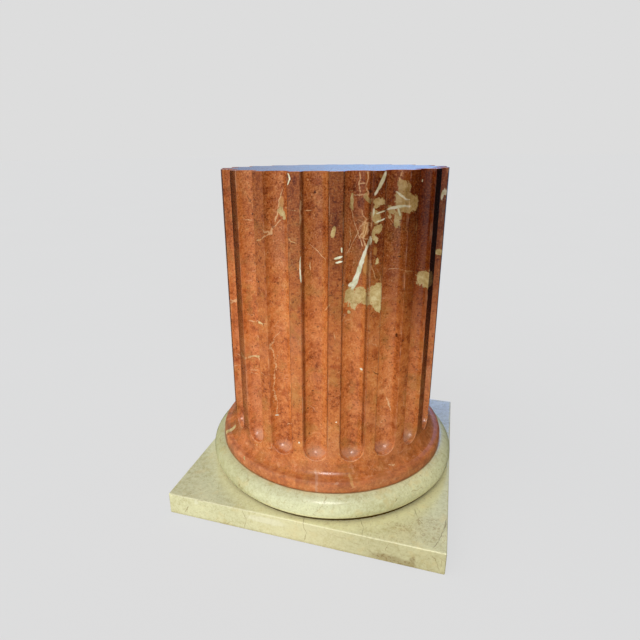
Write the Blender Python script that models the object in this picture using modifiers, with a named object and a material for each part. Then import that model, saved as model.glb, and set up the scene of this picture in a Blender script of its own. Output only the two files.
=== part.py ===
"""A short marble pedestal column: a fluted shaft carved in one block with its spreading foot,
standing on a half-round torus and a square plinth. Metres, +Z up, origin under the plinth's middle."""

from math import asin, cos, pi, radians, sin

import bmesh
import bpy
from mathutils import Matrix

# The square plinth
plinth_thickness = 0.030
plinth_margin = 0.001  # the plinth's faces stand this far outside the torus
plinth_arris = 0.0012  # the small bevel along every edge

# The torus, a slab with a half-round edge
torus_height = 0.032

# The shaft and its foot, one block
block_height = 0.3696
shaft_radius = 0.141
cove_radius = 0.0127  # the hollow quarter round that spreads the shaft into its foot
lip_radius = 0.0042  # the quarter round at the foot's rim
band_height = 0.0096  # the upright face under the lip

# The flutes
flute_count = 20
fillet_width = 0.0149  # the flat left between two flutes, measured across
flute_stop = 0.0056  # plain shaft between a flute's round end and the cove
flute_turn = radians(15)  # a fillet's middle, from the middle of the plinth's front face

joint_gap = 0.0003  # between one piece and the next

# Facets of the round shapes
facets_per_flute = 6  # round the shaft, for each flute
flute_facets = 24  # round a whole flute cutter
arc_steps = {"cove": 7, "lip": 3, "torus": 8, "flute_end": 6}

# Derived sizes
foot_radius = shaft_radius + cove_radius + lip_radius
torus_nose = torus_height / 2
torus_radius = foot_radius + torus_nose
plinth_side = 2 * (torus_radius + plinth_margin)

torus_bottom = plinth_thickness + joint_gap
block_bottom = torus_bottom + torus_height + joint_gap

flute_pitch = 2 * pi / flute_count
flute_half_angle = flute_pitch / 2 - asin(fillet_width / 2 / shaft_radius)
flute_radius = shaft_radius * sin(flute_half_angle)
flute_axis_radius = shaft_radius * cos(flute_half_angle)

round_steps = facets_per_flute * flute_count
facet_angle = 2 * pi / round_steps


def clear_scene():
    for obj in list(bpy.data.objects):
        bpy.data.objects.remove(obj, do_unlink=True)


def new_collection(name):
    collection = bpy.data.collections.new(name)
    bpy.context.scene.collection.children.link(collection)
    return collection


def stone(name, colour, roughness):
    """A polished stone material."""
    material = bpy.data.materials.new(name)
    material.use_nodes = True
    shader = material.node_tree.nodes["Principled BSDF"]
    shader.inputs["Base Color"].default_value = (*colour, 1)
    shader.inputs["Roughness"].default_value = roughness
    shader.inputs["Metallic"].default_value = 0
    material.diffuse_color = (*colour, 1)
    return material


def arc(centre, radius, start, end, steps):
    """Points (r, z) on an arc of a profile, from one angle to another, counted from +r towards +z."""
    angles = [start + (end - start) * i / steps for i in range(steps + 1)]
    return [(centre[0] + radius * cos(a), centre[1] + radius * sin(a)) for a in angles]


def turned(name, profile, steps, collection):
    """A profile of (r, z) points, from the top of the axis down to its bottom, turned about Z."""
    mesh = bpy.data.meshes.new(name)
    shape = bmesh.new()
    corners = [shape.verts.new((r, 0, z)) for r, z in profile]
    for upper, lower in zip(corners, corners[1:]):
        shape.edges.new((upper, lower))
    shape.to_mesh(mesh)
    shape.free()
    obj = bpy.data.objects.new(name, mesh)
    collection.objects.link(obj)
    screw = obj.modifiers.new("Turn", "SCREW")
    screw.steps = screw.render_steps = steps
    screw.use_merge_vertices = True
    screw.merge_threshold = 0.00001
    screw.use_smooth_shade = True
    return obj


def settle(obj, material):
    """Replaces an object's modifiers with their result, shaded smooth between its arrises."""
    bpy.context.view_layer.update()
    graph = bpy.context.evaluated_depsgraph_get()
    mesh = bpy.data.meshes.new_from_object(obj.evaluated_get(graph))
    mesh.name = obj.name
    obj.modifiers.clear()
    obj.data = mesh
    mesh.materials.clear()
    mesh.materials.append(material)
    mesh.shade_smooth()
    mesh.set_sharp_from_angle(angle=radians(32))


def build_plinth(collection, material):
    """A square slab with a narrow bevel on every edge."""
    mesh = bpy.data.meshes.new("square_plinth")
    shape = bmesh.new()
    size = Matrix.Diagonal((plinth_side, plinth_side, plinth_thickness, 1))
    bmesh.ops.create_cube(shape, size=1, matrix=size)
    shape.to_mesh(mesh)
    shape.free()
    plinth = bpy.data.objects.new("square_plinth", mesh)
    collection.objects.link(plinth)
    plinth.location.z = plinth_thickness / 2
    mesh.materials.append(material)
    bevel = plinth.modifiers.new("Arris", "BEVEL")
    bevel.width = plinth_arris
    bevel.segments = 2
    return plinth


def build_torus(collection, material):
    """A round slab whose edge is a half circle as high as the slab."""
    nose = arc((foot_radius, torus_nose), torus_nose, pi / 2, -pi / 2, arc_steps["torus"])
    profile = [(0, torus_height), *nose, (0, 0)]
    torus = turned("torus", profile, round_steps, collection)
    torus.location.z = torus_bottom
    settle(torus, material)
    return torus


def shaft_profile():
    """The block's outline: the straight shaft, the cove, the lip and the upright band."""
    lip_top = band_height + lip_radius
    cove_middle = (shaft_radius + cove_radius, lip_top + cove_radius)
    lip_middle = (foot_radius - lip_radius, band_height)
    cove = arc(cove_middle, cove_radius, pi, 3 * pi / 2, arc_steps["cove"])
    lip = arc(lip_middle, lip_radius, pi / 2, 0, arc_steps["lip"])
    top = [(0, block_height), (shaft_radius, block_height)]
    return [*top, *cove, *lip[1:], (foot_radius, 0), (0, 0)]


def flute_profile():
    """Half the outline of a flute cutter: straight down from above the block to a round end."""
    cove_top = band_height + lip_radius + cove_radius
    end_middle = cove_top + flute_stop + flute_radius
    top = block_height + flute_radius
    end = arc((0, end_middle), flute_radius, 0, -pi / 2, arc_steps["flute_end"])
    end[-1] = (0, end_middle - flute_radius)
    return [(0, top), (flute_radius, top), *end]


def build_shaft(collection, cutters, material):
    """The turned block with its flutes cut from it."""
    shaft = turned("fluted_shaft", shaft_profile(), round_steps, collection)
    shaft.location.z = block_bottom
    shaft.rotation_euler.z = -pi / 2 + flute_turn - facet_angle / 2
    cutter = None
    for i in range(flute_count):
        # Half a facet round, so that every arris falls inside a facet.
        angle = (i + 0.5) * flute_pitch + facet_angle / 2
        if cutter is None:
            cutter = turned("flute_cutter", flute_profile(), flute_facets, cutters)
            settle(cutter, material)
            flute = cutter
        else:
            flute = bpy.data.objects.new("flute_cutter", cutter.data)
            cutters.objects.link(flute)
        flute.parent = shaft
        flute.location = (flute_axis_radius * cos(angle), flute_axis_radius * sin(angle), 0)
        flute.rotation_euler.z = angle
        flute.hide_render = True
        flute.display_type = "WIRE"
    cut = shaft.modifiers.new("Flutes", "BOOLEAN")
    cut.operation = "DIFFERENCE"
    cut.solver = "EXACT"
    cut.operand_type = "COLLECTION"
    cut.collection = cutters
    settle(shaft, material)
    return shaft


def main():
    clear_scene()
    parts = new_collection("marble_pedestal_column")
    cutters = new_collection("cutters")
    build_plinth(parts, stone("cream_plinth_marble", (0.62, 0.60, 0.40), 0.3))
    build_torus(parts, stone("cream_torus_marble", (0.64, 0.63, 0.45), 0.3))
    build_shaft(parts, cutters, stone("red_marble", (0.42, 0.13, 0.045), 0.22))


main()
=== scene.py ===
# %% [markdown]
# # A fluted marble pedestal column
#
# The object is a short column drum on a base: a red marble shaft with twenty flutes that end in round
# scoops above a spreading foot, a cream marble torus, and a square cream plinth. This lesson finishes it
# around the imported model: the model gives the true sizes, and each piece here is a finer surface
# with the same form, laid exactly over its solid.

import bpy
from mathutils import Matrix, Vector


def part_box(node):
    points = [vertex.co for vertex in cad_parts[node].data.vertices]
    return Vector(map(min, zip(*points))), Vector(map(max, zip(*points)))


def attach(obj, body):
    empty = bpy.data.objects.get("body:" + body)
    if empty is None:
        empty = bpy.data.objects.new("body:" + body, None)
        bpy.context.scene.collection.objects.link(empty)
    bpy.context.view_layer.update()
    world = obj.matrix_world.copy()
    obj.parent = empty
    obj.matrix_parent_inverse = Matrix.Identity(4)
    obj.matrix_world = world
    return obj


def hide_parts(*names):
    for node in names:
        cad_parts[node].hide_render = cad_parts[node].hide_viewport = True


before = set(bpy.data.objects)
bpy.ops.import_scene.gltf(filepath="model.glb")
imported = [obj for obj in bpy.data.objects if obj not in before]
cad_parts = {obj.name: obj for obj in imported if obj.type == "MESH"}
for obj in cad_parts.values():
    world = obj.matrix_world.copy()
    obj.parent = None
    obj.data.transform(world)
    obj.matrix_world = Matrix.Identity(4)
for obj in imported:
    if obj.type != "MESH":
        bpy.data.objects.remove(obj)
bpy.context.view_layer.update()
print("packed nodes:", sorted(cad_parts))

# %% Modules
from math import asin, atan2, cos, degrees, pi, radians, sin

import bmesh
import bpy
import numpy as np
from mathutils import Matrix, Vector

mm = 0.001

# %% [markdown]
# ## Where it is seen from
#
# The photograph was taken by hand from close by, a little above the column's top, with a wide lens. A
# camera is placed by its real position, then turned in three steps: down, aside, and a slight roll.
# The small shifts only move the frame, as a cropped photograph does, so the perspective stays right.

# %% The camera
camera_place = Vector((0.1468, -0.6074, 0.4496))
camera_heading = radians(17.15)
camera_pitch = radians(18.78)
camera_roll = radians(0.60)

camera = bpy.data.objects.new("camera", bpy.data.cameras.new("camera"))
bpy.context.scene.collection.objects.link(camera)
turn = Matrix.Rotation(camera_heading, 4, "Z")
turn = turn @ Matrix.Rotation(pi / 2 - camera_pitch, 4, "X")
turn = turn @ Matrix.Rotation(-camera_roll, 4, "Z")
camera.matrix_world = Matrix.Translation(camera_place) @ turn
camera.data.lens = 26.53
camera.data.shift_x = 0.02472
camera.data.shift_y = -0.01064
camera.data.clip_end = 200
bpy.context.scene.camera = camera
print("camera stands", round(camera_place.xy.length, 3), "m from the column's axis")

# %% [markdown]
# ## One way to make every surface
#
# Each piece is a set of grids of points. A grid is a whole numpy array with rows, columns and three
# coordinates, so that a shape is written as one formula instead of a loop over its points. The grids of a
# piece meet edge to edge; welding the points that fall on each other closes the seams and the poles.


# %% Grids into a mesh object
def grid_faces(rows, columns, first):
    """The four corner numbers of each square of a grid whose points are counted row by row."""
    number = first + np.arange(rows * columns).reshape(rows, columns)
    corners = (number[:-1, :-1], number[:-1, 1:], number[1:, 1:], number[1:, :-1])
    return np.stack(corners, -1).reshape(-1, 4)


def weld(grids):
    """One closed mesh from grids that share their border points: points under a hundredth
    of a millimetre apart become one."""
    points = np.concatenate([grid.reshape(-1, 3) for grid in grids])
    faces = []
    first = 0
    for grid in grids:
        faces.append(grid_faces(grid.shape[0], grid.shape[1], first))
        first += grid.shape[0] * grid.shape[1]
    mesh = bpy.data.meshes.new("grids")
    mesh.from_pydata(points.tolist(), [], np.concatenate(faces).tolist())
    shape = bmesh.new()
    shape.from_mesh(mesh)
    bmesh.ops.remove_doubles(shape, verts=shape.verts, dist=0.01 * mm)
    shape.to_mesh(mesh)
    shape.free()
    return mesh


def piece(name, grids, wear=None):
    """An object from welded grids. wear is a function that moves the whole array of points."""
    mesh = weld(grids)
    mesh.name = name
    if wear is not None:
        points = np.empty(len(mesh.vertices) * 3)
        mesh.vertices.foreach_get("co", points)
        mesh.vertices.foreach_set("co", wear(points.reshape(-1, 3)).ravel())
        mesh.update()
    mesh.shade_smooth()
    made = bpy.data.objects.new(name, mesh)
    bpy.context.scene.collection.objects.link(made)
    shape = bmesh.new()
    shape.from_mesh(mesh)
    open_edges = sum(len(edge.link_faces) != 2 for edge in shape.edges)
    print(f"{name}: {sum(len(p.vertices) - 2 for p in mesh.polygons)} triangles,"
          f" {open_edges} open edges, {shape.calc_volume() * 1000:.2f} litres")
    shape.free()
    return made


# %% [markdown]
# ## The shaft's sizes
#
# A mason turns the drum, sets out twenty flutes round it and cuts each with a round-nosed tool, so a
# flute is a half circle across and a quarter ball at its foot. All of it follows from the shaft's
# radius, the number of flutes and the width of the fillet, the flat left between two of them. The
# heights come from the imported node.

# %% Sizes of the fluted shaft
shaft_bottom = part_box("fluted_shaft")[0].z
shaft_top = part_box("fluted_shaft")[1].z
shaft_radius = 141 * mm
cove_radius = 12.7 * mm
lip_radius = 4.2 * mm
band_height = 9.6 * mm
foot_radius = shaft_radius + cove_radius + lip_radius

flute_count = 20
fillet_width = 14.9 * mm
flute_stop = 5.6 * mm
flute_turn = radians(15)

pitch = 2 * pi / flute_count
flute_half_angle = pitch / 2 - asin(fillet_width / 2 / shaft_radius)
flute_radius = shaft_radius * sin(flute_half_angle)
flute_axis = shaft_radius * cos(flute_half_angle)
cove_top = shaft_bottom + band_height + lip_radius + cove_radius
scoop_height = cove_top + flute_stop + flute_radius

arris_wear = 0.8 * mm  # how far the rubbed arris reaches on each side
print(f"flutes {2 * flute_radius / mm:.1f} mm wide, scoops centred {scoop_height / mm:.1f} mm up")

# %% [markdown]
# ## A flute and its scoop
#
# The flute meets the shaft in an arris, a sharp edge that handling has rubbed a little round. The trick
# is to lay all points out on spokes. A spoke starts at the deepest point of the flute, climbs its hollow,
# rounds the arris and ends half way across the fillet. Level spokes, repeated at each height,
# make the straight flute. Spokes fanned downwards make the scoop, and both share the level spokes.


# %% Spokes of one flute
def on_shaft(across, height):
    """The plain shaft rolled flat: across is a distance round it, and the point is
    (R sin(across/R), R cos(across/R), height)."""
    angle = across / shaft_radius
    return np.stack([shaft_radius * np.sin(angle), shaft_radius * np.cos(angle), height], -1)


def in_scoop(climb, fan):
    """The round nose of the tool: a ball of the flute's radius round a centre on the flute's axis. climb
    is the angle from the deepest point, fan the spoke's own angle below the level."""
    return np.stack([
        flute_radius * np.sin(climb) * np.cos(fan),
        flute_axis - flute_radius * np.cos(climb),
        scoop_height + flute_radius * np.sin(climb) * np.sin(fan),
    ], -1)


def arris_climb(fan):
    """Where the ball breaks out of the shaft: the climb whose point is one shaft radius from the axis,
    cos(climb) = -rf sin^2(fan) / (a + sqrt(a^2 + rf^2 sin^4(fan)))."""
    dip = np.sin(fan) ** 2
    reach = np.sqrt(flute_axis**2 + (flute_radius * dip) ** 2)
    return np.arccos(-flute_radius * dip / (flute_axis + reach))


def spokes(fan):
    """All stations of the spokes at these fan angles, as (station, spoke, xyz) in the flute's own
    frame: x round the shaft, y outwards. Hollow, rubbed arris and flat follow one another."""
    climb = arris_climb(fan)
    corner = in_scoop(climb, fan)
    inner_end = climb - arris_wear / flute_radius
    hollow_share = np.linspace(0, 1, 13)[:, None]
    hollow = in_scoop(inner_end * hollow_share, fan * np.ones_like(hollow_share))

    corner_across = shaft_radius * np.arctan2(corner[:, 0], corner[:, 1])
    corner_height = corner[:, 2]
    away = np.hypot(corner_across, corner_height - scoop_height)
    along_across = corner_across / away
    along_height = (corner_height - scoop_height) / away
    flat_across = corner_across + arris_wear * along_across
    flat_height = corner_height + arris_wear * along_height
    flat_start = on_shaft(flat_across, flat_height)

    bend = np.array([0.3, 0.5, 0.7])[:, None, None]
    arris = (1 - bend) ** 2 * hollow[-1] + 2 * bend * (1 - bend) * corner + bend**2 * flat_start

    half_pitch = shaft_radius * pitch / 2
    drop = scoop_height - cove_top
    level = np.maximum(np.abs(np.cos(fan)), 1e-9)
    plunge = np.maximum(np.abs(np.sin(fan)), 1e-9)
    reach = np.minimum(half_pitch / level, drop / plunge)
    rim_across = reach * np.cos(fan)
    rim_height = scoop_height + reach * np.sin(fan)
    share = np.array([0, 0.12, 0.45, 1])[:, None]
    flat = on_shaft(
        flat_across + share * (rim_across - flat_across),
        flat_height + share * (rim_height - flat_height),
    )
    return np.concatenate([hollow, arris, flat])


def round_the_shaft(grid):
    """The same grid at each flute: its own frame turned to the flute's middle."""
    copies = []
    for i in range(flute_count):
        middle = flute_turn + (i + 0.5) * pitch
        out = np.array([sin(middle), -cos(middle), 0])
        along = np.array([cos(middle), sin(middle), 0])
        up = np.array([0, 0, 1])
        copies.append(grid[..., :1] * along + grid[..., 1:2] * out + grid[..., 2:] * up)
    return copies


# %% [markdown]
# ## The straight flutes and the top
#
# The level section is carried up the shaft in rows. At the top the edge turns over in a small quarter
# round: each point moves in along the outline's own normal, so the rounding follows every
# flute. From there, rings run to the middle of the flat, polished top.

# %% Straight flutes, top edge and top face
top_edge = 0.5 * mm

level_spokes = spokes(np.array([-pi, 0.0]))
section = np.concatenate([level_spokes[::-1, 0], level_spokes[1:, 1]])[:, :2]

heights = np.linspace(scoop_height, shaft_top - top_edge, 81)
straight = np.concatenate([
    np.broadcast_to(section, (len(heights), *section.shape)),
    np.broadcast_to(heights[:, None, None], (len(heights), len(section), 1)),
], -1)

slope = np.gradient(section, axis=0)
slope[0] = (cos(pitch / 2), sin(pitch / 2))
slope[-1] = (cos(pitch / 2), -sin(pitch / 2))
normal = np.stack([-slope[:, 1], slope[:, 0]], -1)
normal /= np.linalg.norm(normal, axis=1, keepdims=True)

turns = np.linspace(0, pi / 2, 4)[1:, None, None]
over_plan = section - normal * top_edge * (1 - np.cos(turns))
over_height = shaft_top - top_edge * (1 - np.sin(turns)) + 0 * over_plan[..., :1]
top_roll = np.concatenate([over_plan, over_height], -1)

inside = top_roll[-1, :, :2]
ring_radius = 118 * mm
ring_angle = np.linspace(-pitch / 2, pitch / 2, len(inside))
direction = np.stack([np.sin(ring_angle), np.cos(ring_angle)], -1)
rings = [inside + share * (direction * ring_radius - inside) for share in (0.4, 1)]
rings += [direction * ring_radius * share for share in (0.66, 0.33, 0)]
top_face = np.stack(rings)
top_face = np.concatenate([top_face, shaft_top + 0 * top_face[..., :1]], -1)
shaft_rows = np.concatenate([straight, top_roll, top_face])
print("rows up one flute:", len(shaft_rows), "columns:", len(section))

# %% [markdown]
# ## The scoops and the foot
#
# The fan of spokes runs from level, down one side, across the bottom and up the other. Two of them go
# exactly to the corners of the flute's share of the shaft, so the fan's rim is straight
# where it meets the foot. The foot is a turned profile: band, lip and cove.

# %% The scoop's fan
corner_fan = atan2(scoop_height - cove_top, shaft_radius * pitch / 2)
side = np.linspace(0, corner_fan, 9)
below = np.linspace(corner_fan, pi - corner_fan, 21)
fan = -np.concatenate([side[:-1], below, pi - side[-2::-1]])[::-1]
scoop = spokes(fan)[::-1]
foot_columns = scoop[0, 8:29]
print("scoop spokes:", len(fan))


# %% The turned foot
def arc(middle, radius, start, end, steps):
    """Points (r, z) on an arc, from one angle to another, counted from +r towards +z."""
    angle = np.linspace(start, end, steps + 1)
    return np.stack([middle[0] + radius * np.cos(angle), middle[1] + radius * np.sin(angle)], -1)


foot_edge = 0.6 * mm
lip_bottom = shaft_bottom + band_height
underside = np.array([(0, shaft_bottom), (0.1, shaft_bottom)])
heel = arc((foot_radius - foot_edge, shaft_bottom + foot_edge), foot_edge, -pi / 2, 0, 3)
band = np.array([(foot_radius, shaft_bottom + band_height * share) for share in (0.4, 0.75)])
lip = arc((foot_radius - lip_radius, lip_bottom), lip_radius, 0, pi / 2, 7)
cove = arc((foot_radius - lip_radius, cove_top), cove_radius, -pi / 2, -pi, 11)
foot_profile = np.concatenate([underside, heel, band, lip, cove[1:]])

foot_angle = np.arctan2(foot_columns[:, 0], foot_columns[:, 1])
foot = np.stack([
    foot_profile[:, :1] * np.sin(foot_angle),
    foot_profile[:, :1] * np.cos(foot_angle),
    foot_profile[:, 1:] + 0 * foot_angle,
], -1)

# %% [markdown]
# ## Wear on the shaft
#
# Hand-rubbed marble is never quite true: the flutes wander by a tenth of a millimetre, which shows only
# in the gloss. Knocks have taken small flakes off the arrises and the top edge. Each knock pushes
# the points near it inwards, most at its middle, and never outwards.

# %% Hand work and knocks
knock_random = np.random.default_rng(7)
knock_count = 90
rim_knocks = 24  # how many of them are on the top edge
flat_middle = 120 * mm  # nearer to the axis than this, the top and the underside stay flat


def shaft_knocks():
    """Knocks as (x, y, z, half length, half width, depth): along random arrises, and round the top."""
    flute = knock_random.integers(0, flute_count, knock_count)
    edge = knock_random.choice([-1, 1], knock_count)
    angle = flute_turn + (flute + 0.5) * pitch + edge * flute_half_angle
    height = knock_random.uniform(scoop_height, shaft_top, knock_count)
    height[:rim_knocks] = shaft_top
    reach = knock_random.uniform(1.6, 4.5, knock_count) * mm
    width = knock_random.uniform(0.9, 1.8, knock_count) * mm
    depth = knock_random.uniform(0.2, 0.7, knock_count) * mm
    return np.stack([
        shaft_radius * np.sin(angle), -shaft_radius * np.cos(angle), height, reach, width, depth,
    ], -1)


def worn(points, knocks, waviness):
    """Points moved towards the axis: by smooth waves of height and angle, sin(141 z + 5 sin(7 angle))
    and sin(67 z + 9 angle), and by each knock, whose push falls off as 1 - q squared, with q the
    distance over the knock's half size."""
    angle = np.arctan2(points[:, 0], -points[:, 1])
    radius = np.hypot(points[:, 0], points[:, 1])
    z = points[:, 2]
    waves = (np.sin(z * 141 + 5 * np.sin(7 * angle)) + np.sin(z * 67 + 9 * angle)) / 2
    push = waviness * (0.5 + 0.5 * waves) * (radius > flat_middle)
    for x, y, height, reach, width, depth in knocks:
        q2 = ((points[:, 0] - x) ** 2 + (points[:, 1] - y) ** 2) / width**2
        q2 += ((z - height) / reach) ** 2
        push += depth * np.clip(1 - q2, 0, 1)
    moved = points.copy()
    moved[:, :2] *= (1 - push / np.maximum(radius, 1e-6))[:, None]
    return moved


knocks = shaft_knocks()
shaft_grids = [*round_the_shaft(shaft_rows), *round_the_shaft(scoop), *round_the_shaft(foot)]
carved_shaft = piece("carved_shaft", shaft_grids, lambda points: worn(points, knocks, 0.08 * mm))

# %% [markdown]
# ## The torus
#
# A torus is the fat half-round moulding of a column base. Here it is a disc of cream marble with a
# half-round nose. It is turned, so one profile is carried round a circle. The shaft stands on its flat
# top, and its underside lies on the plinth.

# %% The torus
torus_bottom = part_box("torus")[0].z
torus_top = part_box("torus")[1].z
nose = (torus_top - torus_bottom) / 2


def turned(profile, columns):
    """A profile of (r, z) points carried round the Z axis: (r sin a, -r cos a, z)."""
    angle = np.linspace(0, 2 * pi, columns + 1)
    return np.stack([
        profile[:, :1] * np.sin(angle),
        -profile[:, :1] * np.cos(angle),
        profile[:, 1:] + 0 * angle,
    ], -1)


nose_arc = arc((foot_radius, torus_bottom + nose), nose, -pi / 2, pi / 2, 30)
torus_profile = np.concatenate([
    [(0, torus_bottom), (0.08, torus_bottom), (0.15, torus_bottom)],
    nose_arc,
    [(0.15, torus_top), (0.08, torus_top), (0, torus_top)],
])
rounded_torus = piece("rounded_torus", [turned(torus_profile, 400)])

# %% [markdown]
# ## The plinth
#
# The plinth is a square slab sawn from a 30 mm board, with a narrow bevel rubbed along its edges. Its
# profile runs from the middle of the underside, up the face and back over the top. It is carried
# round a square path. Inside the corner's own radius the path keeps a round corner, and further in it
# shrinks to the middle.

# %% The plinth
plinth_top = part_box("square_plinth")[1].z
plinth_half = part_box("square_plinth")[1].x
plinth_corner = 1.6 * mm
plinth_bevel = 1.3 * mm


def square_path(steps):
    """Points of a square's outline with half side 1, and the outward normal at each, with the normal
    turning in five steps at each corner."""
    spots, normals = [], []
    along = np.linspace(-1, 1, steps)
    for quarter in range(4):
        angle = quarter * pi / 2
        out = np.array([sin(angle), -cos(angle)])
        aside = np.array([cos(angle), sin(angle)])
        spots.append(along[:, None] * aside + out)
        normals.append(np.broadcast_to(out, (steps, 2)))
        for turn_share in (0.2, 0.4, 0.6, 0.8):
            bend = angle + turn_share * pi / 2
            spots.append((aside + out)[None])
            normals.append(np.array([[sin(bend), -cos(bend)]]))
    spots.append(spots[0][:1])
    normals.append(normals[0][:1])
    return np.concatenate(spots), np.concatenate(normals)


def slab(profile, half, corner, steps):
    """A profile of (inset, z) points carried round a square: spot * (half - max(corner, inset)) +
    normal * max(corner - inset, 0)."""
    spots, normals = square_path(steps)
    inset = profile[:, 0][:, None, None]
    plan = spots * (half - np.maximum(corner, inset)) + normals * np.maximum(corner - inset, 0)
    return np.concatenate([plan, profile[:, 1][:, None, None] + 0 * plan[..., :1]], -1)


quarter_turn = np.linspace(0, pi / 2, 5)
lower_bevel = plinth_bevel * np.stack([1 - np.sin(quarter_turn), 1 - np.cos(quarter_turn)], -1)
upper_bevel = np.stack([lower_bevel[::-1, 0], plinth_top - lower_bevel[::-1, 1]], -1)
face = np.stack([np.zeros(7), np.linspace(plinth_bevel, plinth_top - plinth_bevel, 9)[1:-1]], -1)
inwards = np.array([3 * mm, 8 * mm, 20 * mm, 45 * mm, 80 * mm, 120 * mm, plinth_half])
plinth_profile = np.concatenate([
    np.stack([inwards[::-1], np.zeros(7)], -1),
    lower_bevel, face, upper_bevel,
    np.stack([inwards, np.full(7, plinth_top)], -1),
])
plinth_slab = piece("plinth_slab", [slab(plinth_profile, plinth_half, plinth_corner, 101)])

# %% [markdown]
# ## Shader maths as plain expressions
#
# A marble is a stack of masks and mixes. Written node by node that would be hard to read, so a small
# class wraps an output socket: adding, multiplying or subtracting wires adds the Math node.


# %% Wires
class Wire:
    """An output socket of a shader node, for use in expressions on numbers."""

    def __init__(self, recipe, socket):
        self.recipe = recipe
        self.socket = socket

    def __add__(self, other):
        return self.recipe.maths("ADD", self, other)

    def __sub__(self, other):
        return self.recipe.maths("SUBTRACT", self, other)

    def __mul__(self, other):
        return self.recipe.maths("MULTIPLY", self, other)

    def __radd__(self, other):
        return self.recipe.maths("ADD", other, self)

    def __rsub__(self, other):
        return self.recipe.maths("SUBTRACT", other, self)

    def __rmul__(self, other):
        return self.recipe.maths("MULTIPLY", other, self)


# %% [markdown]
# A recipe holds one node tree. Any node comes from its one method `node`; the rest are short names for
# the few nodes that stones are made of, and `paint` and `tint` lay one layer of colour on another.


# %% Recipes
class Recipe:
    """The node tree of a material or of the studio, and short names for the nodes that they use."""

    def __init__(self, owner, shader="Principled BSDF", place="Object"):
        owner.use_nodes = True
        self.owner = owner
        self.tree = owner.node_tree
        self.shader = self.tree.nodes[shader]
        self.place = self.node("ShaderNodeTexCoord", output=place)
        self.colour = None

    def node(self, kind, settings=None, inputs=None, output=0):
        """Any node: its type, its settings, then a value or a wire for each input socket."""
        made = self.tree.nodes.new(kind)
        for name, setting in (settings or {}).items():
            if name == "stops":
                self.set_stops(made.color_ramp, setting)
            else:
                setattr(made, name, setting)
        for name, value in (inputs or {}).items():
            self.feed(made.inputs[name], value)
        return Wire(self, made.outputs[output])

    def feed(self, socket, value):
        if isinstance(value, Wire):
            self.tree.links.new(value.socket, socket)
        else:
            socket.default_value = value

    def set_stops(self, ramp, stops):
        while len(ramp.elements) < len(stops):
            ramp.elements.new(0.5)
        for element, (position, colour) in zip(ramp.elements, stops):
            element.position = position
            element.color = (*colour, 1)

    def maths(self, operation, a, b=0.0, c=0.0):
        return self.node("ShaderNodeMath", {"operation": operation}, {0: a, 1: b, 2: c})

    def vector(self, operation, a, b=(0, 0, 0), output=0):
        return self.node("ShaderNodeVectorMath", {"operation": operation}, {0: a, 1: b}, output)

    def scaled(self, vector, factor):
        return self.node("ShaderNodeVectorMath", {"operation": "SCALE"}, {0: vector, 3: factor})

    def moved(self, place, drift, amount):
        """A place pushed aside by a drift: place + amount * drift."""
        return self.vector("ADD", place, self.scaled(drift, amount))

    def axes(self):
        """The point's own x, y and z."""
        apart = self.node("ShaderNodeSeparateXYZ", {}, {0: self.place}).socket.node
        return [Wire(self, socket) for socket in apart.outputs]

    def flat(self, x, y):
        """A place on a flat sheet, from two numbers."""
        return self.node("ShaderNodeCombineXYZ", {}, {0: x, 1: y, 2: 0.0})

    def radius(self):
        """The point's distance from the Z axis."""
        level = self.vector("MULTIPLY", self.place, (1, 1, 0))
        return self.vector("LENGTH", level, output=1)

    def step(self, value, low, high, to_low=0.0, to_high=1.0):
        """A smooth step from one number to another as value goes from low to high."""
        return self.node(
            "ShaderNodeMapRange", {"interpolation_type": "SMOOTHSTEP"},
            {"Value": value, "From Min": low, "From Max": high, "To Min": to_low, "To Max": to_high},
        )

    def fade(self, value, low, high):
        """The same step downwards: 1 up to low, 0 from high on."""
        return self.step(value, low, high, 1.0, 0.0)

    def noise(self, place, size, detail=3.0, roughness=0.5, output=0):
        """Noise whose blobs are about size metres across."""
        return self.node(
            "ShaderNodeTexNoise", {},
            {"Vector": place, "Scale": 1 / size, "Detail": detail, "Roughness": roughness}, output,
        )

    def drift(self, size, detail, roughness=0.5):
        """A small vector that changes from place to place and is zero on average, to stir with."""
        noise = self.noise(self.place, size, detail, roughness, "Color")
        return self.vector("SUBTRACT", noise, (0.5, 0.5, 0.5))

    def cracks(self, place, size):
        """The distance to the nearest border between cells about size metres across."""
        return self.node(
            "ShaderNodeTexVoronoi", {"feature": "DISTANCE_TO_EDGE"}, {"Vector": place, "Scale": 1 / size},
        )

    def ramp(self, value, stops):
        return self.node("ShaderNodeValToRGB", {"stops": stops}, {"Fac": value})

    def mix(self, share, colour, other, blend="MIX"):
        """A colour mixed with another: share 0 keeps the first."""
        settings = {"data_type": "RGBA", "blend_type": blend, "clamp_factor": True}
        opaque = [c if isinstance(c, Wire) else (*c, 1) for c in (colour, other)]
        return self.node("ShaderNodeMix", settings, {0: share, 6: opaque[0], 7: opaque[1]}, 2)

    def paint(self, share, colour):
        """Lays a colour over the recipe's colour so far."""
        self.colour = self.mix(share, self.colour, colour)

    def tint(self, share, colour):
        """Multiplies the recipe's colour so far by a tint."""
        self.colour = self.mix(share, self.colour, colour, "MULTIPLY")

    def finish(self, roughness, height, depth):
        """Wires the shader: its colour, its roughness, and a bump of the given depth in metres."""
        self.feed(self.shader.inputs["Base Color"], self.colour)
        self.feed(self.shader.inputs["Roughness"], roughness)
        bump = self.node("ShaderNodeBump", {}, {"Strength": 1.0, "Distance": depth, "Height": height})
        self.feed(self.shader.inputs["Normal"], bump)
        print(f"{self.owner.name}: {len(self.tree.nodes)} nodes")
        return self.owner


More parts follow.
